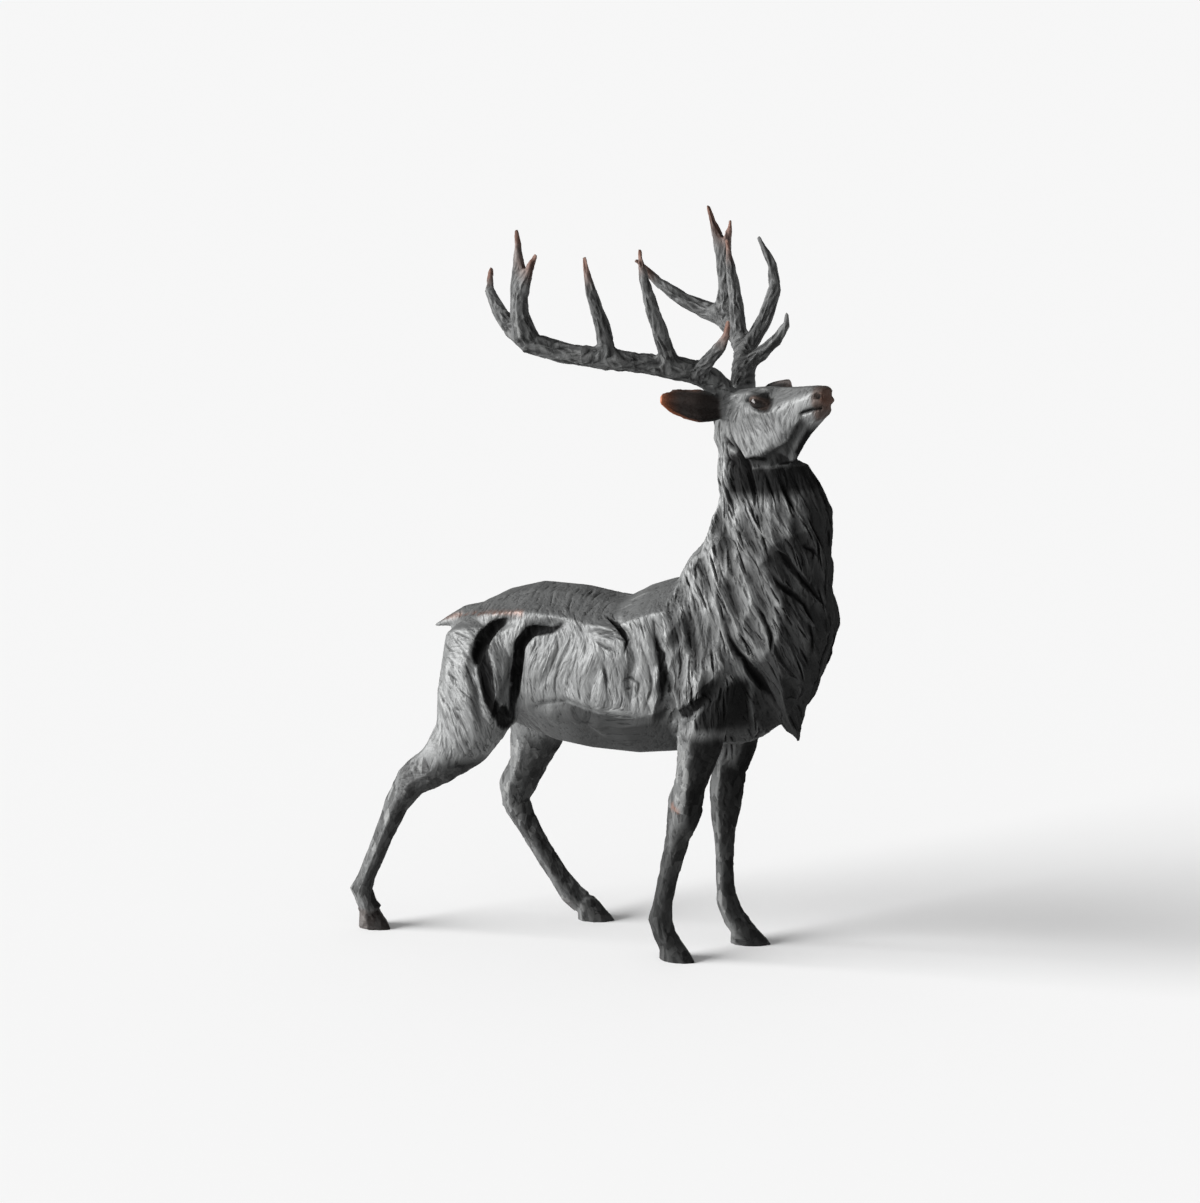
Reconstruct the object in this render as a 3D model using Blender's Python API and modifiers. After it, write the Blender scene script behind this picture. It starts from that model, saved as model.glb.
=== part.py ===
"""A standing stag with its head raised and turned a little to its right, cast in iron as one piece.

The figure faces +X, with +Z up and its four hooves flat on the ground at Z = 0. Every station of it
is written in one unit, a share of its height, so that the pose and the carving keep their proportions
at any size. Closed lofts make the trunk, neck, head, legs, ears and antlers, and narrow blades make
the locks of the coat. A voxel remesh casts them all into one skin, and V shaped valleys are pressed
into it between the masses of the coat.
"""

import math
import random

import bmesh
import bpy
import numpy as np
from mathutils import Matrix, Vector
from mathutils.bvhtree import BVHTree

HEIGHT = 0.5  # from the soles of the hooves to the highest antler tip, in metres
HEIGHT_IN_UNITS = 493
UNIT = HEIGHT / HEIGHT_IN_UNITS  # what the stations below are counted in

SKIN_VOXEL = 1.3 * UNIT  # the grain of the remesh that joins the forms
SKIN_SMOOTHING = 2  # passes that soften the joins
SKIN_TRIANGLES = 9500  # facets left on the finished casting
SOLE_SINK = 2.5  # how far the hooves run below the ground before they are cut flat
SEED = 11

IRON = {"colour": (0.045, 0.046, 0.048, 1.0), "roughness": 0.42, "metallic": 0.75}

# The trunk from the tail root to the breast: x, top, bottom, half width.
TRUNK = [
    (-102, 217, 203, 7),
    (-96, 224, 190, 18),
    (-86, 231, 173, 29),
    (-66, 239, 156, 36),
    (-40, 246, 144, 38),
    (-12, 246, 137, 37),
    (12, 243, 135, 39),
    (38, 242, 135, 41),
    (62, 252, 138, 40),
    (86, 262, 141, 37),
    (108, 252, 145, 33),
    (128, 244, 150, 27),
    (143, 230, 164, 17),
]
# Half of the trunk's section, from the spine round to the breastbone, as shares of its half width and
# height: the back slopes to an edge above the flank, and the belly is cut flat under another.
TRUNK_SECTION = [(0, 1), (0.4, 0.94), (0.9, 0.69), (1, 0.3), (1, -0.3), (0.92, -0.56), (0.4, -0.95), (0, -1)]
# Neck, mane and tail: x, y, z, half depth fore and aft, half width.
NECK = [
    (96, 0, 200, 40, 30),
    (110, 0, 230, 50, 34),
    (123, 0, 256, 50, 32),
    (133, 0, 280, 44, 29),
    (135, -1, 305, 38, 26),
    (129, -2, 325, 32, 22.5),
    (121, -3, 342, 25, 18),
    (119, -4, 360, 20, 15),
    (118, -5, 374, 15, 12),
]
BIB = [
    (138, 0, 262, 33, 26),
    (144, -1, 234, 35, 28),
    (144, -2, 210, 29, 25),
    (147, -3, 188, 20, 18),
    (151, -5, 169, 11, 10),
    (157, -6, 153, 2, 2),
]
TAIL = [
    (-78, 0, 218, 10, 13),
    (-94, 0, 216, 8, 10),
    (-108, 0, 211.5, 4, 6),
    (-121, 0, 207, 0.8, 1.2),
]
# Each leg from the trunk to the pastern: x, y, z, half depth, half width.
RIGHT_HIND = [
    (-70, -14, 222, 12, 8),
    (-70, -24, 210, 27, 15),
    (-65, -30, 188, 32, 20),
    (-66, -37, 162, 31, 18),
    (-75, -45, 139, 22, 13.5),
    (-93, -48, 121, 15, 10),
    (-111, -49, 109, 12.5, 8.5),
    (-123, -49, 92, 9, 7.5),
    (-136, -48, 64, 7, 6),
    (-148.5, -47, 38, 6.5, 6),
    (-154, -46, 27.5, 8.6, 7.5),
    (-150, -45, 17, 7.6, 7),
    (-147, -44, 11, 9, 7),
]
LEFT_HIND = [
    (-64, 14, 222, 12, 8),
    (-64, 24, 210, 30, 15),
    (-60, 30, 186, 34, 20),
    (-58, 35, 154, 28, 18),
    (-63, 40, 126, 20, 13),
    (-70, 40, 105, 14, 10.5),
    (-79, 40, 88, 14, 9),
    (-79, 40, 78, 11.5, 8),
    (-72, 40, 67, 9.5, 7),
    (-57, 40, 45, 8, 6.5),
    (-46, 41, 29, 8, 6.5),
    (-36, 42, 17, 9, 7.5),
    (-28, 43, 11, 9, 7.5),
]
RIGHT_FORE = [
    (84, -14, 226, 12, 8),
    (93, -25, 212, 24, 12),
    (101, -33, 190, 24, 14),
    (101, -37, 166, 18, 13),
    (98, -37, 145, 14.5, 11),
    (92, -35, 126, 11.5, 9.5),
    (87, -32, 110, 13, 10),
    (84, -31, 99, 11.5, 9),
    (80, -29, 87, 9.2, 7.5),
    (76, -27, 74, 8.2, 6.5),
    (71.5, -25, 58, 7.4, 6),
    (67.5, -24, 42, 7.2, 6),
    (64.5, -23, 27, 9, 7.5),
    (67.5, -22, 17, 8.4, 7.5),
    (71, -21, 11, 9, 7.5),
]
LEFT_FORE = [
    (82, 14, 226, 12, 8),
    (88, 25, 212, 24, 12),
    (94, 33, 188, 23, 14),
    (94, 37, 162, 18.5, 13),
    (91, 36, 138, 16, 11.5),
    (87, 36, 120, 12.8, 10),
    (85, 36, 103, 12.6, 10),
    (84.5, 36, 90, 11, 8.5),
    (84, 36, 76, 8.6, 7),
    (84, 37, 57, 7, 6),
    (84.5, 37, 39, 7, 6),
    (86, 38, 26.5, 9, 7.5),
    (91, 38, 16.5, 8.5, 7.5),
    (97, 38, 11, 9, 7.5),
]
# Each hoof: where the sole is centred, half its length, and the way it points from +X in degrees.
HOOVES = [
    (-144.5, -43, 12.5, -8),
    (-17.5, 44, 13.5, 8),
    (76.5, -20, 13.5, -10),
    (103, 39, 14.5, 8),
]
HOOF_HEIGHT = 13
HOOF_HALF_WIDTH = 9.5
# A hoof's outline from above, heel to toe, as shares of its half length and half width.
HOOF_OUTLINE = [(-0.92, 0.5), (-0.6, 0.9), (0.05, 1.0), (0.6, 0.68), (1.0, 0.12)]
# Its rings from the pastern down: height, length and width as shares, and how far back of the middle.
HOOF_RINGS = [(1.2, 0.46, 0.62, -0.46), (0.8, 0.62, 0.8, -0.33), (0.3, 0.88, 0.96, -0.1), (0, 1, 1, 0)]

# The head is carved about its own poll, with x forward, y to its left and z up.
POLL = (104.6, -2, 384)
HEAD_TURN = -18
HEAD_LIFT = 4
HEAD_TILT = 1
# x, top, edge of the jaw, keel of the throat, then the half widths of the top, the cheek and the keel.
SKULL = [
    (-10, -8, -30, -36, 7, 10, 5),
    (-1, -2, -36, -42, 10, 14, 7),
    (11, 0, -41, -46, 11.5, 16, 8),
    (22, 1, -44, -48, 12, 16.5, 7.5),
    (32, 1.5, -42, -49, 12, 15.5, 6.5),
    (42, 1.5, -35, -48, 9.5, 13, 5),
    (51, 1.5, -28, -45.5, 7.5, 11, 3.5),
    (59, 2, -21.5, -36, 6.5, 9.8, 3),
    (67, 2.5, -16, -27, 6.5, 9.3, 3.5),
    (74, 3, -13.5, -20.5, 6.5, 9, 5),
    (80, 3, -10, -16, 6.5, 8.4, 5),
    (83.5, 1.5, -6, -11, 5.5, 7, 4),
]
EYE = (34, 14.5, -7, 4.6)
# The brow over each eye: x, y, z, half depth, half width.
BROW = [
    (20, 9, -5, 3, 3),
    (27, 12.5, -3.5, 4, 4),
    (34, 13.5, -3.5, 3.6, 4),
    (42, 10, -4.5, 3, 3.5),
    (52, 6, -5, 2, 2),
]
# Each ear from its root to its tip, as on the left side: x, y, z, half breadth, half thickness.
RIGHT_EAR = [
    (3, 9, -12, 5, 5),
    (1, 19, -11, 8.5, 4),
    (-2, 30, -9, 11.5, 2.6),
    (-5, 41, -6, 10.8, 2.2),
    (-8, 51, -3, 8.4, 1.8),
    (-9.5, 57.5, -1, 4.2, 1.2),
]
LEFT_EAR = [
    (4, 9, -12, 5, 5),
    (3, 19, -12, 8.5, 4),
    (2, 30, -10.5, 11.5, 2.6),
    (1, 41, -8.5, 10.8, 2.2),
    (0, 51, -6, 8.4, 1.8),
    (0, 57.5, -3.5, 4.2, 1.2),
]
EARS = {-1: RIGHT_EAR, 1: LEFT_EAR}
EAR_CUP = 0.5  # how far the rims of an ear bend forward, as a share of its half breadth
# The antler's beam and tines, as on the left side: x, y, z, radius.
BEAM = [
    (3, 8, -10, 8.5),
    (0, 10.5, 1, 9.2),
    (-4, 16, 8, 8.4),
    (-10, 24, 13, 8.6),
    (-20, 36, 17, 8.2),
    (-34, 50, 21, 7.2),
    (-49.5, 65, 25, 8),
    (-70, 81, 30, 7.2),
    (-92, 94, 38.5, 7.8),
]
BROW_TINE = [
    (-8, 22, 12, 6),
    (4.6, 25.6, 20.5, 5.4),
    (18, 27, 30, 4.4),
    (25, 28, 38, 3),
    (26.6, 28, 47, 1.3),
]
BEZ_TINE = [
    (-20, 35, 19, 6.5),
    (-13, 50, 41, 5.8),
    (-11, 59, 60, 5),
    (-14, 61, 75.5, 3.8),
    (-21, 56, 95, 1.5),
]
# The tines above these lean differently on the two sides.
RIGHT_TREZ = [(-48, 63, 26, 6.5), (-48, 67, 46, 5.8), (-48, 75, 68, 4.4), (-48.5, 79, 92, 1.6)]
LEFT_TREZ = [(-50, 64, 26, 6.5), (-56, 69, 46, 5.8), (-64, 75, 68, 4.4), (-72, 80, 92, 1.6)]
RIGHT_CROWN = [
    (-91, 94, 41, 8.6),
    (-93, 97, 57, 6.8),
    (-93, 96, 75, 6.2),
    (-93, 94.5, 89, 4.6),
    (-96, 92, 111, 1.4),
]
LEFT_CROWN = [
    (-90, 94, 41, 9),
    (-89, 97, 57, 7.4),
    (-90, 96, 75, 6.4),
    (-93, 94.5, 91, 4.6),
    (-99, 92, 115, 1.4),
]
RIGHT_FORK = [(-90, 96, 70, 5.5), (-84, 95.5, 84, 3.8), (-77, 93.5, 95, 1.5)]
LEFT_FORK = [(-90, 96, 72, 5.5), (-86, 95.5, 88, 3.8), (-80, 93.5, 104, 1.5)]
RIGHT_REAR = [
    (-90, 93.5, 38.5, 7.6),
    (-109, 91, 48, 6.4),
    (-124, 86, 58, 5.2),
    (-138, 80, 70, 4),
    (-148, 68, 85, 1.6),
]
LEFT_REAR = [
    (-90, 93.5, 38.5, 7.6),
    (-109, 91, 44, 6.6),
    (-124, 86, 52, 5.4),
    (-138, 80, 63, 4.2),
    (-148, 68, 80, 1.6),
]
TINES = {
    -1: [BROW_TINE, BEZ_TINE, RIGHT_TREZ, RIGHT_CROWN, RIGHT_FORK, RIGHT_REAR],
    1: [BROW_TINE, BEZ_TINE, LEFT_TREZ, LEFT_CROWN, LEFT_FORK, LEFT_REAR],
}

# Locks of the coat. Each is a blade with a ridge that starts inside the skin and stands proud at its point.
LOCK_SHAPE = [(0.0, 0.5, 0.0), (0.3, 1.0, 0.5), (0.6, 0.9, 0.85), (0.82, 0.5, 1.0), (1.0, 0.05, 0.8)]
LOCK_SINK = 2.5  # how far a lock's underside lies below the skin
# Rows of locks round the neck: height of the roots, number, length, half width, lift.
MANE_ROWS = [
    (356, 9, 30, 4.2, 2),
    (340, 12, 42, 5.2, 3),
    (322, 14, 52, 6, 4),
    (303, 15, 58, 6.6, 4.5),
    (283, 16, 62, 7, 5),
    (262, 16, 62, 7.2, 5),
    (240, 14, 56, 7, 4.5),
    (217, 11, 44, 6, 4),
]
# Patches of locks on both sides: first and last x, first and last z, spacing, length, half width, lift.
SIDE_PATCHES = [
    (-90, -66, 214, 158, 15, 34, 5.5, 2),
    (-26, 24, 214, 184, 17, 34, 7, 2.2),
    (84, 108, 238, 204, 14, 38, 6, 3.2),
]
# Deep cuts between the masses of the coat, as x and z down each side, with half width and depth.
FLANK_CUTS = [
    ([(-37, 225), (-54, 219), (-63, 205), (-64, 191), (-58, 174), (-50, 146)], 5, 6),
    ([(-1, 224), (-25, 220), (-34, 207), (-36, 190), (-40, 170), (-44, 148)], 5, 6),
    ([(32, 232), (47, 220), (53, 206), (49, 192), (51, 176)], 4, 4),
    ([(66, 228), (73, 212), (76, 195), (75, 178), (70, 163)], 5, 6),
    ([(76, 168), (97, 177), (107, 187), (116, 197), (123, 210)], 5, 5),
    ([(-36, 158), (-16, 168), (2, 172), (26, 166), (44, 163), (60, 168)], 4, 3.5),
]
# Cuts on each side of the muzzle, on the head's own axes: the mouth and the nostril.
MOUTH_CUT = ([(65, -18), (70, -13.5), (77, -11), (87, -10)], 1.8, 3)
NOSTRIL_CUT = ([(77, -3), (80, -2), (84, -4)], 1.7, 2.2)

RING_SIDES = 12
LEG_SIDES = 16
TINE_SIDES = 8
BROW_SIDES = 8
# The planes that the chisel left: which way they face from above, in degrees from +X, and how far out they
# lie as a share of the limb's roundness. Each leg has four, a quarter turn apart, below the trunk.
LEGS = [(RIGHT_HIND, -111), (LEFT_HIND, -126), (RIGHT_FORE, -126), (LEFT_FORE, -126)]
PLANE_REACH = 0.85
PLANES_BELOW = 150


def clear_scene():
    for leftover in list(bpy.data.objects):
        bpy.data.objects.remove(leftover, do_unlink=True)


def loft(form, rings):
    """Joins rings of equally many points into one closed skin, flat at both ends."""
    loops = [[form.verts.new(point) for point in ring] for ring in rings]
    for near, far in zip(loops, loops[1:]):
        for i in range(len(near)):
            j = (i + 1) % len(near)
            form.faces.new((near[i], near[j], far[j], far[i]))
    form.faces.new(reversed(loops[0]))
    form.faces.new(loops[-1])


def round_outline(sides):
    """Points round a circle, as shares of a half width and a half depth."""
    angles = [2 * math.pi * (k + 0.5) / sides for k in range(sides)]
    return [(math.cos(angle), math.sin(angle)) for angle in angles]


def limb(form, stations, place=Matrix.Identity(4), outline=None, cup=0.0, planes=(), below=math.inf):
    """A loft along a line of stations, each a ring square to the line: x, y, z, half depth, half width.

    A ring is round, or has the outline given, and cup bends its two deep edges forward.
    Planes cut it flat on the sides that face the ways given, below a height."""
    centres = [Vector(station[:3]) for station in stations]
    rings = []
    for i, (centre, station) in enumerate(zip(centres, stations)):
        along = (centres[min(i + 1, len(centres) - 1)] - centres[max(i - 1, 0)]).normalized()
        across = Vector((0, 1, 0))
        if abs(along.y) > 0.75:
            across = Vector((1, 0, 0))
        across = (across - across.project(along)).normalized()
        deep = along.cross(across)
        depth, width = station[3], station[-1]
        ring = []
        for out, rise in outline or round_outline(RING_SIDES):
            bend = cup * depth * rise * rise
            ring.append(across * (width * out + bend) + deep * depth * rise)
        for turn in planes if centre.z < below else ():
            facing = Vector((math.cos(math.radians(turn)), math.sin(math.radians(turn)), 0))
            limit = PLANE_REACH * math.hypot(width * across.dot(facing), depth * deep.dot(facing))
            ring = [point * min(1, limit / max(point.dot(facing), 1e-6)) for point in ring]
        rings.append([place @ (centre + point) for point in ring])
    loft(form, rings)


def from_profile(profile):
    """Turns x, top, bottom, half width into the stations of a limb along x."""
    return [(x, 0, (top + bottom) / 2, (top - bottom) / 2, width) for x, top, bottom, width in profile]


def mirrored(stations, side):
    return [(station[0], side * station[1], *station[2:]) for station in stations]


def hoof(form, x, y, half_length, turn):
    """A wedge with a pointed toe, carried a little way down into the ground."""
    place = Matrix.Translation((x, y, 0)) @ Matrix.Rotation(math.radians(turn), 4, "Z")
    heights = [HOOF_HEIGHT * ring[0] for ring in HOOF_RINGS] + [-SOLE_SINK]
    rings = []
    for height, (_, length, width, back) in zip(heights, HOOF_RINGS + [HOOF_RINGS[-1]]):
        half = []
        for ahead, out in HOOF_OUTLINE:
            half.append(((ahead * length + back) * half_length, out * width * HOOF_HALF_WIDTH))
        outline = half + [(ahead, -out) for ahead, out in reversed(half)]
        rings.append([place @ Vector((ahead, out, height)) for ahead, out in outline])
    loft(form, rings)


def head_place():
    turned = Matrix.Rotation(math.radians(HEAD_TURN), 4, "Z")
    lifted = Matrix.Rotation(math.radians(-HEAD_LIFT), 4, "Y")
    tilted = Matrix.Rotation(math.radians(HEAD_TILT), 4, "X")
    return Matrix.Translation(POLL) @ turned @ lifted @ tilted


def skull_ring(x, top, edge, keel, top_half, cheek_half, keel_half):
    """Ten corners round the head: flat above, flat cheeks down to the jaw's edge, then in to the keel."""
    half = [(top_half * 0.5, top), (top_half, top - 2.5), (cheek_half, top * 0.55 + edge * 0.45)]
    half += [(cheek_half * 0.93, edge), (keel_half, keel)]
    left = [Vector((x, y, z)) for y, z in half]
    right = [Vector((x, -y, z)) for y, z in reversed(half)]
    return left + right


def head(form):
    place = head_place()
    loft(form, [[place @ point for point in skull_ring(*station)] for station in SKULL])
    for side in (-1, 1):
        limb(form, mirrored(BROW, side), place, round_outline(BROW_SIDES))
        x, y, z, radius = EYE
        centre = place @ Vector((x, side * (y - radius * 0.45), z))
        bmesh.ops.create_icosphere(form, subdivisions=2, radius=radius, matrix=Matrix.Translation(centre))
        limb(form, mirrored(EARS[side], side), place, cup=EAR_CUP)
        limb(form, mirrored(BEAM, side), place, round_outline(TINE_SIDES))
        for tine in TINES[side]:
            limb(form, mirrored(tine, side), place, round_outline(TINE_SIDES))


def figure():
    """The bare figure, before its coat is carved, in units."""
    form = bmesh.new()
    other_half = [(-out, rise) for out, rise in TRUNK_SECTION[-2:0:-1]]
    limb(form, from_profile(TRUNK), outline=TRUNK_SECTION + other_half)
    for mass in (NECK, BIB, TAIL):
        limb(form, mass)
    for leg, turn in LEGS:
        planes = [turn + 90 * quarter for quarter in range(4)]
        limb(form, leg, outline=round_outline(LEG_SIDES), planes=planes, below=PLANES_BELOW)
    for sole in HOOVES:
        hoof(form, *sole)
    head(form)
    bmesh.ops.recalc_face_normals(form, faces=form.faces)
    bmesh.ops.triangulate(form, faces=form.faces)
    return form


def blade(form, points, normals, half_widths, heights, depths):
    """A four sided spike along points of the skin, with a ridge above them and a keel below."""
    rings = []
    for i, (point, normal) in enumerate(zip(points, normals)):
        along = (points[min(i + 1, len(points) - 1)] - points[max(i - 1, 0)]).normalized()
        side = along.cross(normal).normalized() * half_widths[i]
        ring = [point + side, point + normal * heights[i], point - side, point - normal * depths[i]]
        rings.append(ring)
    loft(form, rings)


def lie_of_coat(point):
    """The way the hair falls: down the neck and in to the breast, slanting down the sides."""
    x, y, z = point
    if x > 100 and z > 198:
        return Vector((0.55 * min(abs(y) / 20, 1), -y / 55, -1)).normalized()
    if x < -50:
        return Vector((0.55, 0, -1)).normalized()
    return Vector((-0.25, 0, -1)).normalized()


def lock(form, skin, chance, root, length, half_width, lift):
    """One lock of hair laid on the skin from its root the way the coat falls there."""
    point = skin.find_nearest(root)[0]
    slant = Vector((chance.uniform(-0.36, 0.36), chance.uniform(-0.15, 0.15), 0))
    length *= chance.uniform(0.85, 1.2)
    points, normals = [], []
    travelled = 0
    for share, _, rise in LOCK_SHAPE:
        step = (share - travelled) * length
        travelled = share
        point = skin.find_nearest(point + (lie_of_coat(point) + slant) * step)[0]
        normal = skin.find_nearest(point)[1]
        points.append(point + normal * lift * rise * 0.6)
        normals.append(normal)
    half_widths = [half_width * breadth for _, breadth, _ in LOCK_SHAPE]
    heights = [lift * (0.1 + 0.5 * breadth) for _, breadth, _ in LOCK_SHAPE]
    depths = [LOCK_SINK + lift * rise * 0.6 for _, _, rise in LOCK_SHAPE]
    depths[-1] = lift * 0.4
    blade(form, points, normals, half_widths, heights, depths)


def neck_centre(z):
    """The middle of the neck at a height."""
    for low, high in zip(NECK, NECK[1:]):
        if low[2] <= z <= high[2]:
            share = (z - low[2]) / (high[2] - low[2])
            return Vector((low[0] + (high[0] - low[0]) * share, low[1] + (high[1] - low[1]) * share, z))
    return Vector(NECK[-1][:3])


def coat(skin):
    """All the locks, rooted on the bare skin."""
    chance = random.Random(SEED)
    form = bmesh.new()
    for row, (z, count, length, half_width, lift) in enumerate(MANE_ROWS):
        centre = neck_centre(z)
        for k in range(count):
            angle = 2 * math.pi * (k + 0.5 * (row % 2) + chance.uniform(-0.15, 0.15)) / count
            outward = Vector((math.cos(angle), math.sin(angle), 0))
            root = skin.ray_cast(centre + outward * 90, -outward)[0]
            if root and root.x > 92:
                lock(form, skin, chance, root, length, half_width, lift)
    for first_x, last_x, first_z, last_z, spacing, length, half_width, lift in SIDE_PATCHES:
        columns = round((last_x - first_x) / spacing) + 1
        rows = round((first_z - last_z) / spacing) + 1
        for side in (-1, 1):
            for column in range(columns):
                for row in range(rows):
                    x = first_x + spacing * (column + 0.5 * (row % 2)) + chance.uniform(-5, 5)
                    z = first_z - spacing * row + chance.uniform(-5, 5)
                    root = skin.ray_cast(Vector((x, side * 90, z)), Vector((0, -side, 0)))[0]
                    if root:
                        lock(form, skin, chance, root, length, half_width, lift)
    bmesh.ops.recalc_face_normals(form, faces=form.faces)
    bmesh.ops.triangulate(form, faces=form.faces)
    return form


def valley(flat, path, half_width, depth):
    """How deep a V shaped valley along a path is at each flat point: nothing beyond its half width."""
    stations = np.array(path, float)
    best = np.full(len(flat), np.inf)
    share = np.zeros(len(flat))
    steps = len(stations) - 1
    for i, (start, end) in enumerate(zip(stations, stations[1:])):
        run = end - start
        along = np.clip((flat - start) @ run / (run @ run), 0, 1)
        gap = np.linalg.norm(flat - start - along[:, None] * run, axis=1)
        nearer = gap < best
        best[nearer] = gap[nearer]
        share[nearer] = ((i + along) / steps)[nearer]
    taper = np.clip(4 * np.minimum(share + 0.06, 1.06 - share), 0, 1)
    return depth * taper * np.clip(1 - best / half_width, 0, 1)


def carve(mesh):
    """Presses the deep cuts into a skin: between the masses of the coat, at the mouth and the nostrils."""
    count = len(mesh.vertices)
    points = np.empty(count * 3)
    mesh.vertices.foreach_get("co", points)
    points = points.reshape(count, 3) / UNIT
    normals = np.empty(count * 3)
    mesh.vertices.foreach_get("normal", normals)
    normals = normals.reshape(count, 3)
    place = head_place()
    turn = np.array(place.to_3x3())
    on_head = (points - np.array(POLL)) @ turn
    depth = np.zeros(count)
    for side in (-1, 1):
        flank = (points[:, 1] * side > 14) & (points[:, 2] < 250)
        for path, half_width, deep in FLANK_CUTS:
            depth[flank] = np.maximum(depth[flank], valley(points[flank][:, [0, 2]], path, half_width, deep))
        muzzle = (on_head[:, 1] * side > 1) & (on_head[:, 0] > 55) & (on_head[:, 2] > -40)
        for path, half_width, deep in (MOUTH_CUT, NOSTRIL_CUT):
            cut = valley(on_head[muzzle][:, [0, 2]], path, half_width, deep)
            depth[muzzle] = np.maximum(depth[muzzle], cut)
    points -= normals * depth[:, None]
    mesh.vertices.foreach_set("co", (points * UNIT).ravel())
    mesh.update()


def into_object(form, name, collection):
    """Turns a form in units into a named object in metres."""
    mesh = bpy.data.meshes.new(name)
    bmesh.ops.scale(form, vec=(UNIT, UNIT, UNIT), verts=form.verts)
    form.to_mesh(mesh)
    form.free()
    made = bpy.data.objects.new(name, mesh)
    collection.objects.link(made)
    return made


def new_collection(name):
    collection = bpy.data.collections.new(name)
    bpy.context.scene.collection.children.link(collection)
    return collection


def evaluated(made):
    bpy.context.view_layer.update()
    return made.evaluated_get(bpy.context.evaluated_depsgraph_get())


def cast():
    """Makes the one casting: figure and coat under one skin, cut, softened and thinned to its facets."""
    body = figure()
    locks = coat(BVHTree.FromBMesh(body))
    part = bpy.data.meshes.new("locks")
    locks.to_mesh(part)
    locks.free()
    body.from_mesh(part)
    stag = into_object(body, "stag", new_collection("cast_iron_stag"))
    skin = stag.modifiers.new("skin", "REMESH")
    skin.mode = "VOXEL"
    skin.voxel_size = SKIN_VOXEL
    rough = stag.data
    stag.data = bpy.data.meshes.new_from_object(evaluated(stag))
    stag.data.name = "stag"
    stag.modifiers.remove(skin)
    bpy.data.meshes.remove(rough)
    carve(stag.data)
    soften = stag.modifiers.new("soften", "SMOOTH")
    soften.factor = 0.5
    soften.iterations = round(SKIN_SMOOTHING)
    facets = stag.modifiers.new("facets", "DECIMATE")
    facets.ratio = SKIN_TRIANGLES / (2 * len(stag.data.polygons))
    tool = ground(new_collection("cutters"))
    tool.hide_render = True
    tool.display_type = "WIRE"
    soles = stag.modifiers.new("soles", "BOOLEAN")
    soles.operation = "DIFFERENCE"
    soles.object = tool
    return stag


def ground(collection):
    """The block of ground that cuts the hooves flat at Z = 0."""
    form = bmesh.new()
    bmesh.ops.create_cube(form, size=1)
    bmesh.ops.scale(form, vec=(1000, 1000, 100), verts=form.verts)
    bmesh.ops.translate(form, vec=(0, 0, -50), verts=form.verts)
    return into_object(form, "ground_cutter", collection)


def centre_on_ground(stag):
    """Puts the origin under the middle of the figure's box."""
    corners = [Vector(corner) for corner in evaluated(stag).bound_box]
    for axis in (0, 1):
        values = [corner[axis] for corner in corners]
        stag.location[axis] = -(min(values) + max(values)) / 2


def paint(stag):
    iron = bpy.data.materials.new("dark_cast_iron")
    iron.use_nodes = True
    shader = iron.node_tree.nodes["Principled BSDF"]
    shader.inputs["Base Color"].default_value = IRON["colour"]
    shader.inputs["Roughness"].default_value = IRON["roughness"]
    shader.inputs["Metallic"].default_value = IRON["metallic"]
    stag.data.materials.append(iron)


clear_scene()
stag = cast()
centre_on_ground(stag)
paint(stag)
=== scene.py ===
"""A cast iron stag and its portrait: one dark casting with a chisel-cut coat, on a pale studio floor.

Lengths that follow the figure are counted in its own unit, a share of its height, on the figure's axes:
X the way the body faces, Y to the stag's left, Z up from the soles.
"""

import math
import random

import bmesh
import bpy
import numpy as np
from mathutils import Matrix, Vector, kdtree
from mathutils.bvhtree import BVHTree


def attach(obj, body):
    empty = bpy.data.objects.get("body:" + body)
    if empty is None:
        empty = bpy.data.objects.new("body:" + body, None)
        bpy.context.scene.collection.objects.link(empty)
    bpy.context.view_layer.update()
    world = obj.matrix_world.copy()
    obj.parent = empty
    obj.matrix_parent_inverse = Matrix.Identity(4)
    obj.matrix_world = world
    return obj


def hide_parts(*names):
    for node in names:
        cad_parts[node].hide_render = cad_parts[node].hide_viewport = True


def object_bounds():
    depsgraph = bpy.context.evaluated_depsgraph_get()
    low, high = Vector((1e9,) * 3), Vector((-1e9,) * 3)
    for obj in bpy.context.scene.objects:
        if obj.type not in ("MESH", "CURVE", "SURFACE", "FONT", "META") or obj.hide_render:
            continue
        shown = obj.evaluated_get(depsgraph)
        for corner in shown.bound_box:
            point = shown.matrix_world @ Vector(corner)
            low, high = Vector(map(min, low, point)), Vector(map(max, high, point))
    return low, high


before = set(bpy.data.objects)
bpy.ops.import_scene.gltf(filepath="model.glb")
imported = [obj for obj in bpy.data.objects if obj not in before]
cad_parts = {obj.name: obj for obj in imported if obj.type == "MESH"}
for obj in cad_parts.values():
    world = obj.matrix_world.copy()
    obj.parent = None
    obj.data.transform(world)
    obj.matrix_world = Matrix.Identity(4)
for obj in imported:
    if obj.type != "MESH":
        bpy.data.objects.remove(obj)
cad_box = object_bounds()

# The camera stands a little above the stag's back, off its right fore quarter, with a long lens.
# Places in the photograph are pixels of its 1200 by 1203 frame.

HEIGHT_IN_UNITS = 493
UNIT = (cad_box[1][2] - cad_box[0][2]) / HEIGHT_IN_UNITS
BOX_MIDDLE = Vector((12.38, 26.65, 0))  # the frame's origin on the figure's axes
PHOTO_WIDTH, PHOTO_HEIGHT = 1200, 1203
CAMERA_TURN = math.radians(27)
CAMERA_RISE = math.radians(10.5)
CAMERA_AIM = Vector((0, 15, 231.6))
CAMERA_DISTANCE = 2300
FOCAL_PIXELS = 3404
SENSOR = 36.0
CLIP_END = 2000


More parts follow.
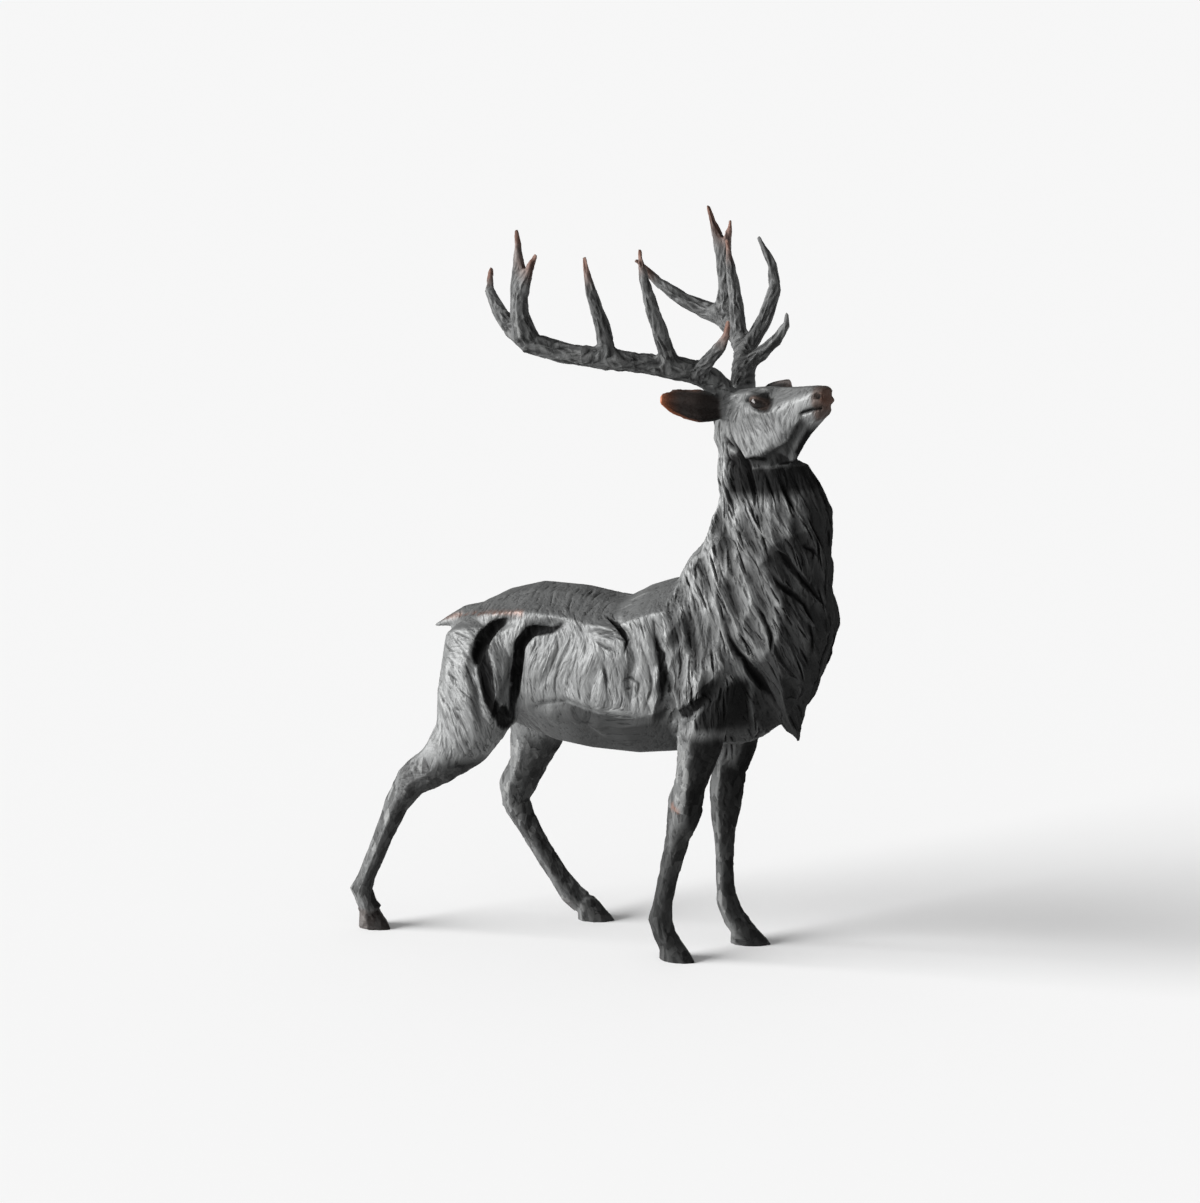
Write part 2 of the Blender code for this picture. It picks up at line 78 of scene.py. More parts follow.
def in_frame(point):
    """A place on the figure's axes, in units, as a place in the frame, in metres."""
    return (Vector(point) - BOX_MIDDLE) * UNIT


towards_camera = Vector((
    math.sin(CAMERA_TURN) * math.cos(CAMERA_RISE),
    -math.cos(CAMERA_TURN) * math.cos(CAMERA_RISE),
    math.sin(CAMERA_RISE),
))
camera_data = bpy.data.cameras.new("camera")
camera_data.sensor_width = SENSOR
camera_data.lens = FOCAL_PIXELS * SENSOR / PHOTO_HEIGHT
camera_data.clip_end = CLIP_END
camera = bpy.data.objects.new("camera", camera_data)
camera.location = in_frame(CAMERA_AIM) + towards_camera * CAMERA_DISTANCE * UNIT
camera.rotation_euler = towards_camera.to_track_quat("Z", "Y").to_euler()
bpy.context.scene.collection.objects.link(camera)
bpy.context.scene.camera = camera
to_world = camera.rotation_euler.to_matrix()


def line_of_sight(pixel):
    """The direction from the camera through a pixel of the photograph."""
    across = (pixel[0] - PHOTO_WIDTH / 2) / FOCAL_PIXELS
    down = (pixel[1] - PHOTO_HEIGHT / 2) / FOCAL_PIXELS
    return (to_world @ Vector((across, -down, -1))).normalized()


# The stag is one bare iron casting with its antlers, ears, mane and hooves, and stands on its soles. Its
# skin comes from the frame, closed and made fine enough to take the carver's cuts. The cuts follow the
# hair: long deep ones between the locks, short ones on them.

GRAIN = 0.62 * UNIT  # the grain of the skin while it is carved
FINISHED_TRIANGLES = 197000
SHARP_ANGLE = math.radians(34)


def evaluated_mesh(made):
    """The mesh of an object with its modifiers applied."""
    bpy.context.view_layer.update()
    return bpy.data.meshes.new_from_object(made.evaluated_get(bpy.context.evaluated_depsgraph_get()))


solid = bmesh.new()
solid.from_mesh(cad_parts["stag"].data)
bmesh.ops.remove_doubles(solid, verts=solid.verts, dist=1e-6)
solid_skin = BVHTree.FromBMesh(solid)
stag = bpy.data.objects.new("carved_stag", bpy.data.meshes.new("carved_stag"))
solid.to_mesh(stag.data)
bpy.context.scene.collection.objects.link(stag)
fine = stag.modifiers.new("fine", "REMESH")
fine.mode = "VOXEL"
fine.voxel_size = GRAIN
stag.data = evaluated_mesh(stag)
stag.modifiers.remove(fine)


def vertex_values(mesh, name):
    """A vector of every vertex, such as its place or its normal, as rows of three numbers."""
    values = np.empty(len(mesh.vertices) * 3)
    mesh.vertices.foreach_get(name, values)
    return values.reshape(-1, 3)


def put_vertices(mesh, points):
    """Moves the vertices to places on the figure's axes."""
    mesh.vertices.foreach_set("co", ((points - np.array(BOX_MIDDLE)) * UNIT).ravel())
    mesh.update()


def mark_vertices(mesh, marks):
    """Keeps a number for every vertex under each name."""
    for name, values in marks.items():
        attribute = mesh.attributes.new(name, "FLOAT", "POINT")
        attribute.data.foreach_set("value", values.astype(np.float32))


def on_figure(points):
    """Places in the frame as places on the figure's axes, in units."""
    return points / UNIT + np.array(BOX_MIDDLE)


# The head turns to its right on its own axes: X to the nose, Y to its left, Z up from the poll.
POLL = Vector((104.6, -2, 384))
HEAD_TURN = Matrix.Rotation(math.radians(-18), 3, "Z")
HEAD_LIFT = Matrix.Rotation(math.radians(-4), 3, "Y")
HEAD_TILT = Matrix.Rotation(math.radians(1), 3, "X")
head_axes = HEAD_TURN @ HEAD_LIFT @ HEAD_TILT


def on_head(points):
    """Places on the figure's axes as places on the head's."""
    return (points - np.array(POLL)) @ np.array(head_axes)


def ramp(low, high, values):
    """0 at low, 1 at high and smooth between them, for a high above or below the low."""
    share = np.clip((values - low) / (high - low), 0, 1)
    return share * share * (3 - 2 * share)


# Where each part of the stag begins and where it is whole. The antlers and ears are on the head's axes.
ANTLER_UP = (0.5, 3)
ANTLER_CLEAR = (4, 8)  # above this the antler owns every place, however far forward
ANTLER_FRONT = (13, 8)
EAR_OUT = (15.5, 19)
EAR_TOP = (5, 2)
EAR_BOTTOM = (-30, -26)
EAR_FRONT = (17, 13)
EAR_BACK = (-22, -18)
NAPE_HALF_WIDTH = 2  # half of how far the head blends into the neck
HEAD_BOTTOM = -50
LEG_TOP = (136, 122)
FORE_LEG_TOP = (168, 156)
FORE_LEG_OUT = (24, 29)
FORE_LEG_BACK = (72, 80)
FORE_LEG_FRONT = (122, 116)
HOOF_TOP = (14.5, 12.5)


def nape(height):
    """How far forward of the poll the head begins, at a height on its axes."""
    return 2 - 0.59 * (height + 12)


def parts(points):
    """How far each point belongs to each part of the stag, from 0 to 1."""
    x, y, z = points.T
    hx, hy, hz = on_head(points).T
    antler = ramp(*ANTLER_UP, hz) * np.maximum(ramp(*ANTLER_FRONT, hx), ramp(*ANTLER_CLEAR, hz))
    ear = ramp(*EAR_OUT, np.abs(hy)) * ramp(*EAR_TOP, hz) * ramp(*EAR_BOTTOM, hz)
    ear = ear * ramp(*EAR_FRONT, hx) * ramp(*EAR_BACK, hx)
    head = ramp(-NAPE_HALF_WIDTH, NAPE_HALF_WIDTH, hx - nape(hz)) * ramp(HEAD_BOTTOM - 1, HEAD_BOTTOM + 2, hz)
    head = head * (1 - ear) * (1 - antler)
    fore_leg = ramp(*FORE_LEG_TOP, z) * ramp(*FORE_LEG_OUT, np.abs(y))
    fore_leg = fore_leg * ramp(*FORE_LEG_BACK, x) * ramp(*FORE_LEG_FRONT, x)
    leg = np.maximum(ramp(*LEG_TOP, z), fore_leg)
    coat = np.clip(1 - antler - ear - head - leg, 0, 1)
    return {"antler": antler, "ear": ear, "head": head, "leg": leg, "hoof": ramp(*HOOF_TOP, z), "coat": coat}


# Which way the hair lies, read off the photograph: where a stroke starts and where it ends, in pixels.
HAIR_COURSES = [
    ((455, 640), (470, 652)), ((450, 685), (478, 712)), ((448, 720), (455, 740)), ((437, 742), (424, 754)),
    ((497, 640), (500, 700)), ((484, 650), (496, 676)), ((527, 597), (512, 611)), ((592, 597), (581, 613)),
    ((640, 594), (623, 603)), ((480, 600), (466, 610)), ((538, 611), (538, 624)), ((558, 613), (569, 628)),
    ((554, 647), (544, 662)), ((573, 647), (561, 670)), ((592, 655), (584, 682)), ((607, 655), (611, 693)),
    ((539, 685), (542, 703)), ((565, 685), (577, 708)), ((600, 628), (620, 634)), ((630, 632), (634, 670)),
    ((646, 662), (651, 693)), ((669, 603), (680, 632)), ((692, 597), (688, 647)), ((676, 655), (673, 685)),
    ((700, 580), (705, 600)), ((722, 474), (733, 511)), ((757, 507), (774, 541)), ((742, 554), (770, 606)),
    ((727, 554), (742, 606)), ((779, 615), (796, 645)), ((738, 624), (770, 676)), ((783, 689), (800, 728)),
    ((831, 528), (833, 593)), ((809, 485), (826, 524)), ((762, 480), (765, 500)), ((738, 413), (749, 439)),
    ((759, 419), (770, 436)), ((775, 419), (780, 433)), ((794, 402), (787, 419)), ((806, 392), (800, 406)),
    ((794, 392), (773, 402)), ((735, 397), (722, 404)), ((620, 725), (600, 727)), ((690, 660), (692, 690)),
]
HAIR_BLEND = 30  # square units added to each gap from a course, so that the courses flow into each other


def seen_at(pixel):
    """The point of the skin that the photograph shows at a pixel, on the figure's axes."""
    hit = solid_skin.ray_cast(camera.location, line_of_sight(pixel))[0]
    return None if hit is None else hit / UNIT + BOX_MIDDLE


def seen_along(course):
    """The points of the skin that the photograph shows along a course of pixels."""
    return [place for place in map(seen_at, course) if place is not None]


def on_skin(points):
    """The nearest points of the solid's skin, on the figure's axes."""
    found = [solid_skin.find_nearest(in_frame(point))[0] for point in points]
    return on_figure(np.array([tuple(place) for place in found]))


def across_from(point):
    """The same place on the other side: of the head where it lies on the head, else of the body."""
    local = head_axes.transposed() @ (point - POLL)
    if local.x > nape(local.z) and local.z > HEAD_BOTTOM - 2:
        return head_axes @ Vector((local.x, -local.y, local.z)) + POLL
    return Vector((point.x, -point.y, point.z))


course_places = []
course_ways = []
for course in HAIR_COURSES:
    seen = seen_along(course)
    if len(seen) < len(course):
        continue
    for begin, end in (seen, [across_from(place) for place in seen]):
        course_places.append(tuple((begin + end) / 2))
        course_ways.append(tuple((end - begin).normalized()))
course_places = np.array(course_places)
course_ways = np.array(course_ways)


def planted(points):
    """A tree for finding the nearest of many points."""
    tree = kdtree.KDTree(len(points))
    for i, point in enumerate(points):
        tree.insert(point, i)
    tree.balance()
    return tree


LIMB_SPACING = 4
LIMB_REACH = 13  # how far round a point its limb or tine is looked at to find which way it runs
TRIES = 1.6  # how many points are thrown for each that is wanted
chance = random.Random(5)
solid_faces = list(solid.faces)
solid_areas = [face.calc_area() / UNIT ** 2 for face in solid_faces]


def scattered(spacing, part=None):
    """Points spread over a part of the skin, on the figure's axes, few of them nearer than a spacing."""
    count = int(sum(solid_areas) / spacing ** 2 * TRIES)
    kept, cells = [], set()
    for face in chance.choices(solid_faces, weights=solid_areas, k=count):
        a, b, c = [vert.co for vert in face.verts]
        s, t = sorted((chance.random(), chance.random()))
        point = (a * s + b * (t - s) + c * (1 - t)) / UNIT + BOX_MIDDLE
        cell = tuple(int(value // spacing) for value in point)
        if cell not in cells:
            cells.add(cell)
            kept.append(tuple(point))
    kept = np.array(kept)
    return kept if part is None else kept[parts(kept)[part] > 0.5]


limb_points = scattered(LIMB_SPACING)
limb_points = limb_points[(on_head(limb_points)[:, 2] > 0) | (parts(limb_points)["leg"] > 0)]
limb_tree = planted(limb_points)
limb_ways = np.zeros_like(limb_points)
for i, point in enumerate(limb_points):
    near = np.array([limb_points[found[1]] for found in limb_tree.find_range(point, LIMB_REACH)])
    longest = np.linalg.eigh(np.cov((near - near.mean(0)).T))[1][:, 2] if len(near) > 3 else (0, 0, 1)
    limb_ways[i] = longest
limb_ways *= np.where(limb_ways[:, 2] > 0, -1, 1)[:, None]


def lie_of_hair(points):
    """Which way the cuts run at each point: along the limbs and tines, and as the hair lies elsewhere."""
    gaps = ((points[:, None, :] - course_places[None]) ** 2).sum(2)
    weights = 1 / (gaps + HAIR_BLEND) ** 2
    ways = weights @ course_ways / weights.sum(1)[:, None]
    belongs = parts(points)
    along = np.array([limb_ways[limb_tree.find(point)[1]] for point in points])
    share = np.clip(belongs["antler"] + belongs["leg"], 0, 1)[:, None]
    ways = ways * (1 - share) + along * share
    side = np.sign(on_head(points)[:, 1])
    out = np.stack([side * 0, side, side * 0], 1) @ np.array(head_axes).T
    ear = belongs["ear"][:, None]
    ways = ways * (1 - ear) + out * ear
    return ways / (np.linalg.norm(ways, axis=1)[:, None] + 1e-9)


# A stroke is kept as close samples: where each lies, which way the chisel went, its half width and depth.
PLACE = slice(0, 3)
WAY = slice(3, 6)
HALF_WIDTH = 6
DEPTH = 7
SAMPLE_GAP = 0.5
WIDE_GAP = 0.2  # the gap as a share of a wide stroke's half width
HOPS = 5  # the straight runs that a stroke is made of
ENTRY, EXIT = 3.2, 2.2  # how soon the chisel is fully in, and how late it starts to lift
END_DEPTH = 0.1  # the depth at the ends, as a share
END_WIDTH = 0.45  # the width at the ends, as a share


def sampled(track, half_width, depth):
    """Close samples of one stroke, narrower and shallower towards its ends."""
    reach = np.concatenate([[0], np.cumsum(np.linalg.norm(np.diff(track, axis=0), axis=1))])
    gap = max(SAMPLE_GAP, WIDE_GAP * half_width)
    at = np.linspace(0, reach[-1], max(3, int(reach[-1] / gap)))
    share = at / (reach[-1] + 1e-9)
    taper = np.clip(np.minimum(share * ENTRY, (1 - share) * EXIT) + END_DEPTH, 0, 1)
    place = np.stack([np.interp(at, reach, track[:, axis]) for axis in range(3)], 1)
    way = np.gradient(place, axis=0)
    way /= np.linalg.norm(way, axis=1)[:, None] + 1e-9
    return np.column_stack([place, way, half_width * (END_WIDTH + (1 - END_WIDTH) * taper), depth * taper])


def strokes(starts, lengths, half_widths, depths, wander):
    """Samples along chisel strokes that follow the lie of the hair from their starts."""
    hops = np.array([chance.uniform(*lengths) for _ in starts])[:, None] / HOPS
    veer = np.array([[chance.gauss(0, wander) for _ in range(3)] for _ in starts])
    points = starts
    track = [points]
    for _ in range(HOPS):
        points = on_skin(points + (lie_of_hair(points) + veer) * hops)
        track.append(points)
    track = np.stack(track, 1)
    found = [sampled(line, chance.uniform(*half_widths), chance.uniform(*depths)) for line in track]
    return np.concatenate(found)


# Deep cuts between the locks, from the photograph: a course of pixels, a half width and a depth.
DEEP_CUTS = [
    ([(768, 541), (792, 572), (826, 606), (835, 619)], 4.5, 5),
    ([(803, 507), (826, 550), (826, 572)], 3.5, 4),
    ([(753, 598), (770, 637), (772, 671)], 3, 3.5),
    ([(720, 619), (733, 650), (770, 697), (787, 723)], 4.5, 5),
    ([(763, 563), (779, 585), (805, 604), (820, 637), (828, 658)], 3.5, 4),
    ([(723, 483), (733, 513)], 2.6, 3),
    ([(737, 494), (748, 507)], 2.2, 2.4),
    ([(718, 517), (731, 554)], 3, 3.4),
    ([(722, 437), (738, 453)], 2.8, 3),
    ([(724, 457), (740, 468)], 2.8, 3),
    ([(727, 425), (733, 444), (748, 468), (754, 491), (757, 524)], 2.6, 3.4),
    ([(779, 476), (792, 507), (800, 524)], 3.2, 4),
    ([(800, 541), (824, 561)], 3, 3.4),
    ([(831, 522), (833, 559)], 2.6, 3),
    ([(802, 611), (813, 637), (811, 665)], 3, 3.4),
    ([(831, 598), (835, 626), (826, 656), (813, 691), (805, 720)], 3, 3.6),
    ([(582, 634), (598, 630), (612, 634), (624, 650)], 1.4, 1.2),
    ([(594, 640), (606, 648), (618, 652)], 1.4, 1.2),
    ([(602, 662), (606, 680), (607, 694)], 1.8, 2),
    ([(650, 668), (650, 690), (644, 712)], 2, 2),
    ([(620, 684), (629, 678), (638, 684), (637, 695), (628, 700)], 2, 1.8),
    ([(624, 690), (631, 688), (632, 695)], 1.6, 1.4),
]
# The valleys round the flank, painted black to their edges as shade. The first two lie between the haunch and
# the flank, and the third is where they meet.
VALLEYS = [
    ([(508, 618), (496, 625), (485, 635), (481, 650), (482, 670), (488, 692), (500, 722)], 8, 4.6),
    ([(564, 622), (552, 629), (530, 631), (521, 642), (518, 664), (514, 690), (509, 726)], 6, 4),
    ([(502, 708), (505, 720), (507, 730)], 8, 4),
    ([(655, 634), (661, 655), (663, 680), (661, 706)], 3.2, 4),
    ([(604, 614), (616, 624), (627, 640), (624, 656)], 2.6, 3),
    ([(676, 713), (694, 707), (706, 697), (716, 690)], 4, 4),
]
VALLEY_FLOOR = 2.2  # how deep a valley goes before its floor lies flat
STEPS_BETWEEN = 4  # the straight steps from one pixel of a course to the next


def stepped(line):
    """Points along a line of places, a few of them between each place and the next."""
    between = [
        begin.lerp(end, step / STEPS_BETWEEN)
        for begin, end in zip(line, line[1:])
        for step in range(STEPS_BETWEEN)
    ]
    return between + [line[-1]]


def photo_strokes(cuts):
    """Samples along cuts given as courses of pixels, repeated on the side that the photograph hides."""
    found = []
    for course, half_width, depth in cuts:
        line = seen_along(course)
        if len(line) < 2:
            continue
        for side in (line, [across_from(place) for place in line]):
            found.append(sampled(on_skin(stepped(side)), half_width, depth))
    return np.concatenate(found)


STEEP = 0.8  # how wide the steep side of a cut is, as a share of its half width


def depth_of(cuts, points, outward, lean):
    """How deep the strokes go at each point, each with a steep side and one that is shallower by the lean."""
    cell = cuts[:, HALF_WIDTH].max() * lean
    low = points.min(0) - 2 * cell
    span = (points.max(0) + 2 * cell - low) // cell + 1

    def cell_number(places):
        steps = (places - low) // cell
        return ((steps[:, 0] * span[1] + steps[:, 1]) * span[2] + steps[:, 2]).astype(np.int64)

    numbers = cell_number(points)
    order = np.argsort(numbers, kind="stable")
    in_order = numbers[order]
    depth = np.zeros(len(points))
    for step in np.ndindex(3, 3, 3):
        wanted = cell_number(cuts[:, PLACE] + (np.array(step) - 1) * cell)
        first = np.searchsorted(in_order, wanted, "left")
        count = np.searchsorted(in_order, wanted, "right") - first
        stroke = np.repeat(np.arange(len(cuts)), count)
        if len(stroke) == 0:
            continue
        within = np.arange(len(stroke)) - np.repeat(np.cumsum(count) - count, count)
        point = order[np.repeat(first, count) + within]
        gap = points[point] - cuts[stroke, PLACE]
        distance = np.linalg.norm(gap, axis=1)
        near = distance < cuts[stroke, HALF_WIDTH] * lean
        stroke, point, gap, distance = stroke[near], point[near], gap[near], distance[near]
        beside = np.cross(outward[point], cuts[stroke, WAY])
        shallow = (gap * beside).sum(1) > 0
        reach = cuts[stroke, HALF_WIDTH] * np.where(shallow, lean, STEEP)
        np.maximum.at(depth, point, cuts[stroke, DEPTH] * np.clip(1 - distance / reach, 0, 1))
    return depth


edges = np.empty(len(stag.data.edges) * 2, np.int64)
stag.data.edges.foreach_get("vertices", edges)
edge_a, edge_b = edges.reshape(-1, 2).T


def smoothed(values, rounds, share=1.0):
    """Values or places of the skin's vertices, each drawn towards the middle of its neighbours."""
    values = values.copy()
    size = len(values)
    count = np.bincount(edge_a, minlength=size) + np.bincount(edge_b, minlength=size)
    flat = values.reshape(size, -1)
    pull = np.broadcast_to(np.asarray(share, float), (size,))
    for _ in range(rounds):
        for column in flat.T:
            middle = np.bincount(edge_a, column[edge_b], size) + np.bincount(edge_b, column[edge_a], size)
            column += (middle / count - column) * 0.5 * pull
    return values


SKIN_ROUNDS = 14  # rounds of smoothing that take the solid's facets off the coat
skin = on_figure(vertex_values(stag.data, "co"))
belongs = parts(skin)
skin = smoothed(skin, SKIN_ROUNDS, np.clip(belongs["coat"] + 0.6 * belongs["head"], 0, 1))
put_vertices(stag.data, skin)
outward = vertex_values(stag.data, "normal")

# Each kind of stroke: how far apart, on which part, how long, its half width and depth, how much it
# wanders and how much shallower its lee side is.
STROKE_KINDS = {
    "hair": (3.7, "coat", (8, 20), (0.7, 0.95), (0.3, 0.75), 0.13, 1.3),
    "slit": (9, "coat", (14, 40), (1.0, 1.9), (1.4, 2.8), 0.12, 1.0),
    "tuft": (13, "coat", (20, 40), (3.4, 5.4), (1.2, 2.4), 0.14, 2.0),
    "lock": (19, "coat", (40, 70), (5.5, 8.5), (2.6, 4.2), 0.12, 1.9),
    "plane": (7, "leg", (8, 22), (2.2, 3.6), (0.4, 0.9), 0.2, 1.6),
    "nick": (5, "leg", (3, 9), (0.7, 0.9), (0.3, 0.6), 0.3, 1.4),
    "bark": (4, "antler", (7, 22), (1.2, 2.4), (0.6, 1.3), 0.14, 1.5),
    "down": (3.6, "head", (6, 16), (0.7, 0.9), (0.3, 0.6), 0.14, 1.2),
}
DEEP_LEAN = 1.4
VALLEY_LEAN = 1.0
BELLY_EDGE = [(-45, 150), (-36, 159), (-16, 168), (2, 172), (26, 167), (44, 165), (60, 169), (76, 174)]
BELLY_BACK = (-30, -16)
BELLY_FRONT = (78, 74)
MANE_BACK = (62, 84)
SHAGGY_TOP = (326, 300)  # above this the neck is combed flat

cut = {}
for kind, (spacing, part, lengths, half_widths, depths, wander, lean) in STROKE_KINDS.items():
    marched = strokes(scattered(spacing, part), lengths, half_widths, depths, wander)
    cut[kind] = depth_of(marched, skin, outward, lean)
x, y, z = skin.T
belly = ramp(1.0, -0.6, z - np.interp(x, *zip(*BELLY_EDGE))) * ramp(*BELLY_BACK, x) * ramp(*BELLY_FRONT, x)
mane = ramp(*MANE_BACK, x) * belongs["coat"]
shaggy = mane * ramp(*SHAGGY_TOP, z)
haired = belongs["coat"] * (1 - 0.95 * belly)
hair_cuts = cut["hair"] * haired * (0.7 + 0.3 * mane)
slit_cuts = cut["slit"] * haired * (0.4 + 0.6 * mane)
tuft_cuts = cut["tuft"] * haired * (0.2 + 0.8 * shaggy)
lock_cuts = cut["lock"] * haired * shaggy
deep_cuts = depth_of(photo_strokes(DEEP_CUTS), skin, outward, DEEP_LEAN)
valley_cuts = np.minimum(depth_of(photo_strokes(VALLEYS), skin, outward, VALLEY_LEAN), VALLEY_FLOOR)
plane_cuts = cut["plane"] * belongs["leg"] * (1 - belongs["hoof"])
nick_cuts = cut["nick"] * belongs["leg"]
bark_cuts = cut["bark"] * belongs["antler"]
down_cuts = cut["down"] * belongs["head"]
depth = np.maximum.reduce([
    hair_cuts + tuft_cuts,
    slit_cuts + 0.5 * tuft_cuts,
    hair_cuts + lock_cuts,
    deep_cuts + 0.6 * hair_cuts,
    valley_cuts + hair_cuts,
])
depth += bark_cuts + plane_cuts + nick_cuts + down_cuts

# Flat planes of the head, on its left: three corners each, then how far back, forward, down and up it cuts.
HEAD_PLANES = [
    ([(14, 16.6, -20), (62, 8.7, -10), (40, 12.6, -40)], 6, 60, -46, -15),  # the cheek
    ([(40, 12.9, -12.6), (67.8, 7.6, -2.4), (55, 2.5, 2.5)], 38, 76, -16, 4),  # the side of the nose
]
PLANE_BLEND = 2  # half of how far a plane fades out at its bounds
MOST_PARED = 5


def planed(points, corners, back, front, low, high):
    """Points of the head with what stands proud of a plane pared off, within its bounds, on both sides."""
    a, b, c = np.array(corners, float)
    square = np.cross(b - a, c - a)
    square *= np.sign(square[1]) / np.linalg.norm(square)
    side = np.where(points[:, 1] < 0, -1, 1)
    to_left = np.stack([side * 0 + 1, side, side * 0 + 1], 1)
    folded = points * to_left
    within = ramp(back - PLANE_BLEND, back + PLANE_BLEND, folded[:, 0])
    within = within * ramp(front + PLANE_BLEND, front - PLANE_BLEND, folded[:, 0])
    within = within * ramp(low - PLANE_BLEND, low + PLANE_BLEND, folded[:, 2])
    within = within * ramp(high + PLANE_BLEND, high - PLANE_BLEND, folded[:, 2])
    proud = np.clip((folded - a) @ square, 0, MOST_PARED) * within
    return (folded - proud[:, None] * square) * to_left


on_the_head = on_head(skin)
for head_plane in HEAD_PLANES:
    share = (belongs["head"] > 0.5)[:, None]
    on_the_head = np.where(share, planed(on_the_head, *head_plane), on_the_head)
skin = on_the_head @ np.array(head_axes).T + np.array(POLL)
x, y, z = skin.T
hx, hy, hz = on_the_head.T
off_middle = np.abs(hy)
facing = outward @ np.array(head_axes)

# The eyes in their sockets. Places of the face are forward and up of the poll.
EYE = (35, -8)
EYE_HALF_LENGTH, EYE_HALF_HEIGHT = 4.2, 2.8
UPPER_LID = 0.25  # how much higher the eye's upper half is
EYE_SLANT = math.radians(-24)
EYE_OFF_MIDDLE = 7
LID_RING, LID_BREADTH = 1.22, 0.2  # as shares of the eye
SOCKET_RING, SOCKET_BREADTH = 1.9, 0.5
along = (hx - EYE[0]) * math.cos(EYE_SLANT) + (hz - EYE[1]) * math.sin(EYE_SLANT)
above = (hz - EYE[1]) * math.cos(EYE_SLANT) - (hx - EYE[0]) * math.sin(EYE_SLANT)
eye = np.hypot(along / EYE_HALF_LENGTH, above / (EYE_HALF_HEIGHT * (1 + UPPER_LID * np.sign(above))))
on_side = (off_middle > EYE_OFF_MIDDLE) * (hz < 2)
ball = np.sqrt(np.clip(1 - eye ** 2, 0, 1)) * on_side
lid = np.exp(-((eye - LID_RING) / LID_BREADTH) ** 2) * on_side
socket = np.exp(-((eye - SOCKET_RING) / SOCKET_BREADTH) ** 2) * on_side

# The mouth, the nostrils and the line of the jaw.
MOUTH = [(66, -14.5), (70, -13.2), (75, -11.6), (83, -10.8)]
MOUTH_CORNER = (64, 68)
LIP_GAP = 0.8
NOSTRIL = (80.5, -3.2)
NOSTRIL_HALF_LENGTH, NOSTRIL_HALF_HEIGHT = 2.6, 1.7
NOSTRIL_BACK = (76, 78)
NOSTRIL_OFF_MIDDLE = 3.5
FACE_OFF_MIDDLE = 4
JAW_LINE = [(11, -38), (22, -43), (32, -43.8), (53, -31), (63, -19), (68, -15)]
mouth = np.exp(-((hz - np.interp(hx, *zip(*MOUTH))) / LIP_GAP) ** 2) * ramp(*MOUTH_CORNER, hx)
nostril_gap = np.hypot((hx - NOSTRIL[0]) / NOSTRIL_HALF_LENGTH, (hz - NOSTRIL[1]) / NOSTRIL_HALF_HEIGHT)
nostril = np.exp(-nostril_gap ** 2) * (off_middle > NOSTRIL_OFF_MIDDLE) * ramp(*NOSTRIL_BACK, hx)
on_face = belongs["head"] * (off_middle > FACE_OFF_MIDDLE)
under_jaw = ramp(0.3, 2.4, np.interp(hx, *zip(*JAW_LINE)) - hz) * belongs["head"] * ramp(2, 6, off_middle)
under_jaw = under_jaw * ramp(12, 20, hx) * ramp(72, 64, hx)

# The hollow of each ear, from its root to its tip: how broad it is, and how far up its middle lies.
EAR_ROOT_TO_TIP = [17, 30, 41, 51, 57]
EAR_BREADTH = [8, 11.5, 10.8, 7, 2]
RIGHT_EAR_UP, LEFT_EAR_UP = [-11, -9, -6, -3, -1], [-12, -11.5, -10, -8, -6]
EAR_RIM = (0.95, 0.6)
EAR_TIP = (56, 50)
EAR_RIDGES = 9  # how close the ridges in the ear stand
left_up = np.interp(off_middle, EAR_ROOT_TO_TIP, LEFT_EAR_UP)
ear_middle = np.where(hy < 0, np.interp(off_middle, EAR_ROOT_TO_TIP, RIGHT_EAR_UP), left_up)
ear_over = (hz - ear_middle) / np.interp(off_middle, EAR_ROOT_TO_TIP, EAR_BREADTH)
inner_ear = belongs["ear"] * ramp(0.1, 0.5, facing[:, 0]) * ramp(*EAR_RIM, np.abs(ear_over))
inner_ear = inner_ear * ramp(*EAR_TIP, off_middle)
ear_ridges = 0.5 + 0.5 * np.cos(ear_over * EAR_RIDGES + 0.02 * off_middle)

depth = depth * (1 - np.clip(ball + lid, 0, 1)) - 1.7 * ball - 1.0 * lid + 1.3 * socket
depth += 1.7 * mouth * on_face + 2.2 * nostril * on_face + 1.6 * under_jaw
depth += inner_ear * (1.4 + 0.9 * ear_ridges)

SETTLING_ROUNDS = 12  # rounds of smoothing that tell hollow places from proud ones
carved = skin - outward * depth[:, None]
hollowness = ((smoothed(carved, SETTLING_ROUNDS) - carved) * outward).sum(1)

# Where the iron is rubbed to copper and brown: the tines' tips, the ears' rims, the nose, the hip and a knee.
TINE_TIPS = [  # on the head's axes; the left antler's two forward tips aren't rubbed
    (26.6, -28, 47), (-21, -56, 95), (-48.5, -79, 92), (-96, -92, 111), (-77, -93.5, 95), (-148, -68, 85),
    (-72, 80, 92), (-99, 92, 115), (-80, 93.5, 104), (-148, 68, 80),
]
TIP_LENGTH = 24
COPPER_LINES = [  # a course of pixels, how strong and how wide
    ([(446, 617), (460, 614), (480, 613), (500, 612), (520, 612)], 0.32, 3.6),
    ([(671, 806), (677, 811)], 0.5, 2.4),
]


def near_course(course, half_width):
    """How near each point of the skin lies to a course of pixels, from 0 to 1."""
    gaps = [np.linalg.norm(skin - np.array(place), axis=1) for place in stepped(seen_along(course))]
    return ramp(half_width, 1, np.minimum.reduce(gaps))


